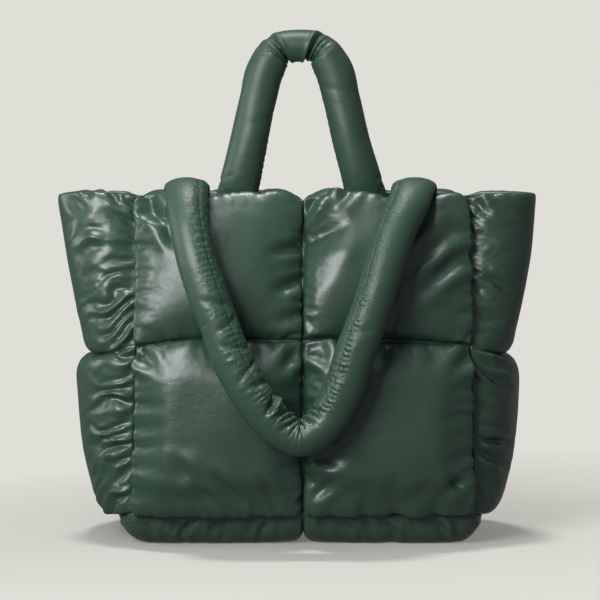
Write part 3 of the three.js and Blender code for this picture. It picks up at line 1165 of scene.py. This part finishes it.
@dataclass
class GussetPanel(PaddedPanel):
    """A side gusset: one column of two cells, gathered along its side seams and folded outwards."""

    side: Side = Side.LEFT
    pinch: tuple[float, ...] = (0.0, 0.7)
    pinch_spread: float = 0.17
    corner_drop: float = 4.0
    bow: float = 0.0  # how far the wing's edge bows outwards
    bow_spread: float = 0.3
    corner_spread: float = 0.04
    corner_power: int = 14  # more for a corner that keeps closer to the rim
    spare_reach: float = 0.26
    gentle: tuple[float, float] = (0.6, 0.8)  # fullness of the greatest height, across and up
    seam_share: float = 0.7
    dome: float = 0.36

    def sewing(self, across: Array, up: Array) -> Array:
        """Sewing surface of the gusset, with the corner of its wing turned down.

        Args:
            across: share of the way from front to back.
            up: rows above the base seam.

        Returns:
            Points in the sewing frame, in millimetres.
        """
        points = PLAN.gusset(self.side, across, up)
        corner = np.exp(-(((across - 0.5) / self.corner_spread) ** 2)) * np.maximum(0, up - 1) ** self.corner_power
        points[..., 2] -= self.corner_drop * corner
        bowed = np.sin(math.pi * np.clip(up - 1, 0, 1)) * np.exp(-(((across - 0.5) / self.bow_spread) ** 2))
        points[..., 0] += self.side.sign * (self.bow * bowed - self.corner_drop * corner)
        return points

    def height(self, across: Array, up: Array) -> Array:
        """Height of the padding, which the outward fold pinches in the upper row.

        Args:
            across: share of the way from front to back.
            up: rows above the base seam.

        Returns:
            The height in the middle of each point's cell, in millimetres.
        """
        rows = np.minimum(up.astype(int), 1)
        pinch = np.array(self.pinch)[rows] * np.exp(-(((across - 0.5) / self.pinch_spread) ** 2))
        return super().height(across, up) * (1 - pinch)

    def spare(self, across: Array, up: Array) -> Array:
        """Spare cloth along both side seams."""
        return np.exp(-((np.minimum(across, 1 - across) / self.spare_reach) ** 2))

    def envelope(self, across: Array, up: Array) -> Array:
        """Greatest height of the padding, which rises gently from the side seams."""
        beside, above = (self.rise(across, up, power) for power in ((self.gentle[0], 0.0), (0.0, self.gentle[1])))
        return beside * (self.seam_share + self.dome * above)


@dataclass
class BasePanel(PaddedPanel):
    """The base: two cells sewn as a shallow tray, pressed flat by the floor."""

    spread: float = 5.0  # how far the floor spreads the padding to the front and back
    soft: float = 22  # height up to which it spreads
    squash: float = 0.35  # share of the spread by which its edge comes down
    floor: float = 0.2  # height of the cloth on the floor
    calm: float = 0.1

    def sewing(self, across: Array, up: Array) -> Array:
        """Sewing surface of the base."""
        return PLAN.tray(across, up)

    def contact(self, points: Array, normals: Array) -> Array:
        """Keeps the padding on the floor, where it spreads under the bag's weight.

        Args:
            points: the settled cloth.
            normals: outward directions of the sewing surface; not used.

        Returns:
            The places on and above the floor.
        """
        flat = points.copy()
        low = np.clip(1 - points[..., 2] / self.soft, 0, 1)
        deep = np.clip(points[..., 1] / PLAN.base.half_depth, -1, 1)
        flat[..., 1] += self.spread * low**0.7 * deep**3
        sunk = self.squash * self.spread * np.abs(deep) ** 3 * (low > 0) * low**0.5
        flat[..., 2] = np.maximum(points[..., 2] - sunk, self.floor)
        return flat


# Finishes


class Signal:
    """A shader value that takes part in Python arithmetic."""

    def __init__(self, tree: bpy.types.NodeTree, socket: bpy.types.NodeSocket) -> None:
        """Wraps a socket of a node tree."""
        self.tree, self.socket = tree, socket

    def _math(self, operation: str, first: "Signal | float", second: "Signal | float") -> "Signal":
        """Adds a Math node.

        Args:
            operation: the node's operation.
            first: its first value.
            second: its second value.

        Returns:
            The node's result.
        """
        node = self.tree.nodes.new("ShaderNodeMath")
        node.operation = operation
        for slot, value in zip(node.inputs, (first, second)):
            if isinstance(value, Signal):
                self.tree.links.new(value.socket, slot)
            else:
                slot.default_value = value
        return Signal(self.tree, node.outputs[0])

    def __add__(self, other: "Signal | float") -> "Signal":
        """Sum."""
        return self._math("ADD", self, other)

    def __mul__(self, other: "Signal | float") -> "Signal":
        """Product."""
        return self._math("MULTIPLY", self, other)

    def __abs__(self) -> "Signal":
        """Size without its sign."""
        return self._math("ABSOLUTE", self, 0.0)

    def __mod__(self, other: "Signal | float") -> "Signal":
        """What is left over after whole multiples."""
        return self._math("FLOORED_MODULO", self, other)

    def wave(self) -> "Signal":
        """Sine of the value."""
        return self._math("SINE", self, 0.0)

    def above(self, floor: "Signal | float") -> "Signal":
        """The value, but no less than a floor."""
        return self._math("MAXIMUM", self, floor)

    def __lt__(self, other: "Signal | float") -> "Signal":
        """1 where it is less, and 0 elsewhere."""
        return self._math("LESS_THAN", self, other)

    def __sub__(self, other: "Signal | float") -> "Signal":
        """Difference."""
        return self._math("SUBTRACT", self, other)

    def __rsub__(self, other: "Signal | float") -> "Signal":
        """Difference from a number."""
        return self._math("SUBTRACT", other, self)

    __radd__ = __add__
    __rmul__ = __mul__


class NodeBench:
    """Makes the nodes of one material."""

    def __init__(self, name: str) -> None:
        """Starts an empty material.

        Args:
            name: its name.
        """
        self.material = bpy.data.materials.new(name)
        self.material.use_nodes = True
        self.tree = self.material.node_tree
        self.tree.nodes.clear()

    def node(self, kind: str, settings: dict | None = None, **inputs: object) -> bpy.types.Node:
        """Adds a node.

        Args:
            kind: the node's type.
            settings: attributes that are set first.
            inputs: values or links of its sockets, by name with _ for a space.

        Returns:
            The node.
        """
        node = self.tree.nodes.new(kind)
        for name, value in (settings or {}).items():
            setattr(node, name, value)
        for name, value in inputs.items():
            slot = node.inputs[name.replace("_", " ")]
            if isinstance(value, Signal):
                self.tree.links.new(value.socket, slot)
            else:
                slot.default_value = value
        return node

    def out(self, node: bpy.types.Node, name: str | int = 0) -> Signal:
        """An output of a node."""
        return Signal(self.tree, node.outputs[name])

    def noise(self, place: Signal, scale: float, detail: float, kind: str = "FBM") -> Signal:
        """Noise at a place.

        Args:
            place: coordinates.
            scale: patches in each unit of them.
            detail: octaves of finer patches.
            kind: how the octaves add up.

        Returns:
            The noise, of about 0 to 1.
        """
        return self.out(self.node("ShaderNodeTexNoise", {"noise_type": kind}, Vector=place, Scale=scale, Detail=detail))

    def blend(self, share: Signal, first: object, second: object, clamp: bool = True) -> Signal:
        """Blends two colours.

        Args:
            share: how much of the second colour there is.
            first: a colour, or a signal of colours.
            second: the other one.
            clamp: whether the share is held between 0 and 1.

        Returns:
            The blended colour.
        """
        node = self.node("ShaderNodeMix", {"data_type": "RGBA", "clamp_factor": clamp}, Factor=share)
        for slot, colour in ((6, first), (7, second)):
            if isinstance(colour, Signal):
                self.tree.links.new(colour.socket, node.inputs[slot])
            else:
                node.inputs[slot].default_value = colour
        return self.out(node, 2)

    def surface(self, **inputs: object) -> bpy.types.Material:
        """Gives the material its surface.

        Args:
            inputs: values or links of the shader's sockets, by name with _ for a space.

        Returns:
            The finished material.
        """
        shader = self.node("ShaderNodeBsdfPrincipled", **inputs)
        output = self.node("ShaderNodeOutputMaterial")
        self.tree.links.new(shader.outputs[0], output.inputs["Surface"])
        return self.material


class Sewing(Enum):
    """What a cloth's texture coordinates follow."""

    CELLS = "cells across and up"
    LONG_SEAM = "metres along and off one seam"


@dataclass(frozen=True)
class CoatedCloth:
    """Dark green cloth with a smooth, half-glossy coating; heights are in millimetres."""

    name: str
    sewing: Sewing
    deep: tuple[float, float, float, float] = (0.021, 0.058, 0.038, 1)
    light: tuple[float, float, float, float] = (0.036, 0.084, 0.057, 1)
    gloss: float = 0.36  # roughness of the coating
    crinkle: float = 0.28
    grain: float = 0.1
    pucker: float = 0.9
    streak: float = 0.1
    shine: float = 0.75
    cloud_scale: float = 14.0  # patches of tone in a metre
    grain_scale: float = 1100.0
    crinkle_scale: float = 130.0
    streak_scale: tuple[float, float] = (45.0, 330.0)  # level and upright, so that streaks lie level

    def make(self) -> bpy.types.Material:
        """Builds the material: drifting tone, uneven gloss, soft crinkles, a fine grain and the seams' puckers.

        Returns:
            The material.
        """
        bench = NodeBench(self.name)
        place = bench.out(bench.node("ShaderNodeTexCoord"), "Object")
        cloud = bench.noise(place, self.cloud_scale, 3.0)
        grain = bench.noise(place, self.grain_scale, 2.0)
        shade = cloud * 0.8 + grain * 1.2 - 0.5
        rough = self.gloss - 0.05 + cloud * 0.1
        axes = bench.node("ShaderNodeSeparateXYZ", Vector=place)
        level, upright = self.streak_scale
        weave = bench.node("ShaderNodeCombineXYZ", X=bench.out(axes, "X") * level, Y=bench.out(axes, "Y") * level,
                           Z=bench.out(axes, "Z") * upright + cloud * 14.0)
        relief = bench.noise(place, self.crinkle_scale, 4.0) * self.crinkle + grain * self.grain
        relief = relief + bench.noise(bench.out(weave), 1.0, 2.0) * self.streak
        seam = bench.node("ShaderNodeSeparateXYZ", Vector=bench.out(bench.node("ShaderNodeUVMap")))
        first, second = bench.out(seam, "X"), bench.out(seam, "Y")
        if self.sewing is Sewing.LONG_SEAM:
            # Dark stitches on the seam, and fine crinkles beside it
            shade = shade - (abs(second) < 0.0007) * (first % 0.0034 < 0.0023) * 2.2
            beside = (1 - abs(second - 0.003) * 52.0).above(0.0)
            relief = relief + bench.noise(place, 400.0, 3.0) * beside * self.pucker * 1.4
            # Small ticks beside the stitches on the lower part of one leg
            ticks = (first * 1250.0 + cloud * 9.0).wave() * (bench.noise(place, 70.0, 1.0) - 0.35).above(0.0)
            low = (1 - abs(first - 0.42) * 6.0).above(0.0)
            relief = relief + ticks * low * (1 - abs(second + 0.0045) * 200.0).above(0.0) * 4.0
            # Ridges drawn across the bend
            line = bench.node("ShaderNodeCombineXYZ", X=first * 125.0, Y=second * 50.0, Z=cloud * 3.0)
            ridges = bench.noise(bench.out(line), 1.0, 2.0, "RIDGED_MULTIFRACTAL")
            drawn = (1 - abs(first - 0.3) * 4.0).above(0.0) * (1 - abs(second + 0.010) * 58.0).above(0.0)
            relief = relief + ridges * drawn * 2.2
            rough = rough - drawn * 0.2
        else:
            for along, away in ((second, first), (first, second)):
                near = (1 - abs((away + 0.5) % 1.0 - 0.5) * 8.0).above(0.0)
                line = bench.node("ShaderNodeCombineXYZ", X=along * 12.0 + cloud * 4.0, Y=away * 2.4, Z=cloud * 3.0)
                ridges = bench.noise(bench.out(line), 1.0, 2.0, "RIDGED_MULTIFRACTAL")
                relief = relief + near * near * ridges * self.pucker
        tone = bench.blend(shade, self.deep, self.light, clamp=False)
        bump = bench.node("ShaderNodeBump", Strength=1.0, Distance=MM, Height=relief)
        return bench.surface(
            Base_Color=tone, Roughness=rough, Normal=bench.out(bump), Specular_IOR_Level=self.shine
        )


@dataclass(frozen=True)
class Paper:
    """Plain pale studio paper: lit by the lamps near the bag, and lit evenly from behind farther away."""

    near_colour: tuple[float, float, float, float] = (0.44, 0.44, 0.41, 1)
    left_glow: tuple[float, float, float, float] = (0.0, 0.0, 0.0, 1)
    right_glow: tuple[float, float, float, float] = (0.29, 0.29, 0.265, 1)
    far_glow: tuple[float, float, float, float] = (0.737, 0.737, 0.679, 1)
    near: float = 0.35  # metres from the bag where the lit part starts to fade
    fade: float = 0.6  # metres over which it fades
    behind: float = 0.8  # how much sooner it fades behind the bag
    beside: float = 0.5  # how much later it fades to the right

    def make(self) -> bpy.types.Material:
        """Builds the material.

        Returns:
            The material.
        """
        bench = NodeBench("studio_paper")
        place = bench.out(bench.node("ShaderNodeTexCoord"), "Object")
        axes = bench.node("ShaderNodeSeparateXYZ", Vector=place)
        side, deep = bench.out(axes, "X"), bench.out(axes, "Y")
        away = bench.out(bench.node("ShaderNodeVectorMath", {"operation": "LENGTH"}, Vector=place), "Value")
        far = (away + deep * self.behind - side * self.beside - self.near) * (1 / self.fade)
        colour = bench.blend(far, self.near_colour, (0.0, 0.0, 0.0, 1))
        glow = bench.blend(far, bench.blend(side + 0.5, self.left_glow, self.right_glow), self.far_glow)
        return bench.surface(
            Base_Color=colour, Roughness=0.9, Emission_Color=glow, Emission_Strength=1.0, Specular_IOR_Level=0.0
        )


# Studio


class Glow(Enum):
    """The kinds of lamp in the studio."""

    SUN = "SUN"
    PANEL = "AREA"


@dataclass(frozen=True)
class Lamp:
    """A soft lamp: its kind, where it stands, how large it looks and how bright it is."""

    name: str
    glow: Glow
    place: tuple[float, float, float]
    size: float  # metres, or degrees for a sun
    power: float


@dataclass(frozen=True)
class Studio:
    """Pale paper sweep, soft lamps and the camera."""

    lamps: tuple[Lamp, ...] = (
        Lamp("key", Glow.PANEL, (-0.67, -1.02, 0.77), 0.6, 13.8),
        Lamp("fill", Glow.PANEL, (-0.5, -0.7, 2.2), 0.9, 6.0),
        Lamp("side", Glow.PANEL, (-1.25, 0.0, 0.5), 0.4, 2.6),
        Lamp("top", Glow.SUN, (-0.12, 0.22, 2.7), 6.0, 1.7),
    )
    world: float = 0.17
    sky: tuple[float, float, float, float] = (1.0, 0.99, 0.96, 1)
    aim: tuple[float, float, float] = (0.0, 0.0, 0.244)
    distance: float = 2.2
    elevation: float = 5.0
    lens: float = 126.6
    shift: float = -0.005

    def build(self) -> None:
        """Sets up the sweep, the lamps, the world and the camera."""
        scene = bpy.context.scene
        scene.view_settings.view_transform = "Standard"
        self.sweep()
        aim = Vector(self.aim) + Vector(ORIGIN)
        for lamp in self.lamps:
            bpy.ops.object.light_add(type=lamp.glow.value, location=Vector(lamp.place) + Vector(ORIGIN))
            light = bpy.context.object
            light.name = lamp.name
            light.data.energy = lamp.power
            if lamp.glow is Glow.SUN:
                light.data.angle = math.radians(lamp.size)
            else:
                light.data.size = lamp.size
            light.rotation_euler = (aim - light.location).to_track_quat("-Z", "Y").to_euler()
        scene.world = scene.world or bpy.data.worlds.new("studio")
        scene.world.use_nodes = True
        sky = scene.world.node_tree.nodes["Background"]
        sky.inputs["Color"].default_value = self.sky
        sky.inputs["Strength"].default_value = self.world
        rise = math.radians(self.elevation)
        bpy.ops.object.camera_add(
            location=aim + self.distance * Vector((0, -math.cos(rise), math.sin(rise))),
            rotation=(math.pi / 2 - rise, 0, 0),
        )
        camera = bpy.context.object
        camera.data.lens, camera.data.shift_x = self.lens, self.shift
        scene.camera = camera

    @staticmethod
    def sweep() -> None:
        """Lays a round paper floor that curves up all about the bag; it shows but casts no light on the bag."""
        flat, bend, rise = 3.2, 1.4, 0.8
        sides, steps = 96, 13
        turns = np.linspace(math.pi / 2, 0, steps)
        rings = [(flat + bend * math.sin(turn), bend * (1 - math.cos(turn))) for turn in turns]
        radius, height = flat + bend, bend + rise
        ClothBench.deselect()
        bpy.ops.mesh.primitive_circle_add(vertices=sides, radius=radius, fill_type="NOTHING")
        paper = bpy.context.object
        paper.name = "paper_bowl"
        bpy.ops.object.mode_set(mode="EDIT")
        bpy.ops.mesh.select_all(action="SELECT")
        bpy.ops.transform.translate(value=(0, 0, height))
        for wide, high in rings:
            bpy.ops.mesh.extrude_region_move(TRANSFORM_OT_translate={"value": (0, 0, high - height)})
            bpy.ops.transform.resize(value=(wide / radius, wide / radius, 1))
            radius, height = wide, high
        bpy.ops.mesh.edge_face_add()
        bpy.ops.object.mode_set(mode="OBJECT")
        bpy.ops.object.shade_smooth()
        paper.data.materials.append(Paper().make())
        paper.visible_diffuse = paper.visible_glossy = False


# The bag

FRONT_FOLDS = (
    Fold(-158, 352, -150, 333, 8, 5), Fold(-150, 333, -136, 322, 8, 5), Fold(-140, 352, -132, 322, -7, 7),
    Fold(-136, 322, -128, 296, 6, 6), Fold(-33, 290, -4, 302, 3, 5),
    Fold(-28, 256, -4, 267, 3, 5), Fold(-31, 227, -5, 234, 3, 5), Fold(5, 330, 19, 352, 5, 5),
    Fold(19, 352, 35, 337, 5, 5), Fold(35, 337, 49, 349, 4, 5), Fold(9, 230, 65, 312, -6, 22),
    Fold(8, 306, 52, 318, 5, 12),
    Fold(150, 314, 104, 268, 7.5, 7), Fold(156, 292, 110, 250, 7, 7), Fold(-168, 60, -68, 52, 3, 7),
    Fold(-123, 74, -13, 50, 2.5, 9), Fold(-153, 82, -88, 64, 2, 10), Fold(-138, 200, -88, 200, -4, 9),
    Fold(-170, 204, -153, 190, 4, 5), Fold(4, 202, 19, 190, 5, 5), Fold(15, 205, 30, 182, 5, 5),
    Fold(15, 82, 45, 76, -3.5, 7), Fold(9, 65, 49, 72, 2.5, 6), Fold(27, 52, 67, 67, 3, 6), Fold(97, 50, 127, 64, 3, 6),
    Fold(137, 58, 160, 74, 3.5, 5), Fold(-90, 76, -62, 52, 4.5, 4), Fold(-108, 66, -90, 50, 4, 4),
    Fold(-128, 92, -106, 70, 3.5, 5), Fold(-46, 74, -28, 52, 4, 4), Fold(-166, 196, -146, 178, 4, 5),
    Fold(-8, 196, -26, 176, 4, 5), Fold(166, 196, 148, 176, 4, 5), Fold(160, 58, 146, 74, 4, 4),
    Fold(12, 54, 30, 68, 4, 4),
)
WING_FOLDS = (
    Fold(-235, 346, -220, 334, 5, 5), Fold(-222, 353, -213, 340, 3.5, 4), Fold(-196, 354, -186, 342, 3, 4),
    Fold(184, 276, 202, 256, 2.5, 4), Fold(172, 350, 186, 334, 3, 4), Fold(192, 344, 206, 334, 2, 4),
    Fold(174, 192, 196, 176, 4, 3), Fold(175, 186, 194, 158, 3.5, 3), Fold(174, 110, 194, 104, 4, 3),
    Fold(174, 102, 190, 80, 4, 3), Fold(173, 92, 182, 60, 3, 3),
)
BASE_FOLD_TOP, BASE_FOLD_WIDTH = 33, 2.6
BASE_FOLDS = tuple(
    Fold(x, BASE_FOLD_TOP, x + run, BASE_FOLD_TOP - drop, depth, BASE_FOLD_WIDTH)
    for x, run, drop, depth in (
        (-166, 14, 15, 3), (-142, 22, 11, 4), (-118, -14, 8, 2), (-104, -20, 12, 4), (-84, -12, 9, 2.5),
        (-70, -24, 11, 4), (-46, -10, 8, 2), (-30, -14, 12, 3), (14, 10, 12, 3), (30, 20, 11, 4),
        (58, 12, 9, 2), (72, 22, 12, 4), (104, 14, 9, 2.5), (126, 18, 11, 4), (150, 8, 13, 3),
    )
)


@dataclass
class Tote:
    """The whole bag: its panels and its handles, each dressed in its cloth."""

    shell: CoatedCloth = CoatedCloth("shell_cloth_finish", Sewing.CELLS)
    tube: CoatedCloth = CoatedCloth(
        "handle_cloth_finish", Sewing.LONG_SEAM, (0.025, 0.067, 0.044, 1), (0.042, 0.096, 0.066, 1),
        gloss=0.48, crinkle=0.32, shine=0.65,
    )

    def pieces(self) -> list[tuple[PaddedPanel | StuffedHandle, str, float]]:
        """Lists the bag's pieces.

        Returns:
            Each piece with its material slot and how tightly it is filled.
        """
        wall = {
            "cells": (2, 2), "facets": (116, 112), "swell": (29, 30), "plateau": (4.0, 12.0), "inner_swell": 9.0,
            "puffing": Puffing(0.045, 0.085, bending=7), "upright": Gathers(11, 0.6, 10, 0.3),
            "level": Gathers(14, 0.25, 14), "lean": Lean(6, 6, 11, 4), "ledge": 3.5,
        }
        side = {
            "cells": (1, 2), "facets": (56, 112), "swell": (25, 17), "inner_swell": 5.0, "fullness": (0.6, 0.3),
            "level": Gathers(13, 1.4, 14), "lean": Lean(-2, -2, 0, 3),
            "bulge": (0.0, 3.5), "folds": WING_FOLDS,
        }
        return [
            (WallPanel("front_wall", turn=1, seed=3, side=Side.FRONT, handle=FRONT_HANDLE, folds=FRONT_FOLDS, **wall),
             "shell_cloth", 0.7),
            (WallPanel("back_wall", turn=-1, seed=4, side=Side.BACK, **wall), "shell_cloth", 0.7),
            (GussetPanel("left_gusset", turn=-1, seed=5, side=Side.LEFT, puffing=Puffing(0.07, 0.12, bending=6),
                         upright=Gathers(15, 5.0, 42, 0.5, 4.8), **side), "shell_cloth", 0.6),
            (GussetPanel("right_gusset", turn=1, seed=6, side=Side.RIGHT, puffing=Puffing(0.05, 0.05, bending=7),
                         upright=Gathers(13, 2.0, 20, 0.9), corner_drop=1.0, bow=4.0, **side), "shell_cloth", 0.6),
            (BasePanel("base_panel", cells=(2, 1), facets=(116, 56), puffing=Puffing(0.04, 0.05), swell=(21,),
                       inner_swell=6.0, turn=-1, seed=7, upright=Gathers(12, 1.0, 12), level=Gathers(10, 0.6, 9, 0.8),
                       lean=Lean(-4, -4, -8, -8), folds=BASE_FOLDS), "shell_cloth", 0.6),
            (FRONT_HANDLE, "handle_cloth", 0.8),
            (REAR_HANDLE, "handle_cloth", 0.8),
        ]

    def build(self) -> None:
        """Builds and dresses every piece, and ties it to the frame."""
        finishes = {"shell_cloth": self.shell.make(), "handle_cloth": self.tube.make()}
        for maker, slot, fill in self.pieces():
            piece = maker.build()
            piece.data.materials.clear()
            piece.data.materials.append(finishes[slot])
            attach(piece, "root")
            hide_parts(maker.node)
            LOG.info("%s: %d faces before smoothing", piece.name, len(piece.data.polygons))


def main() -> None:
    """Builds the studio and the bag."""
    logging.basicConfig(level=logging.INFO, format="%(name)s %(message)s")
    Studio().build()
    Tote().build()


if __name__ == "__main__":
    main()
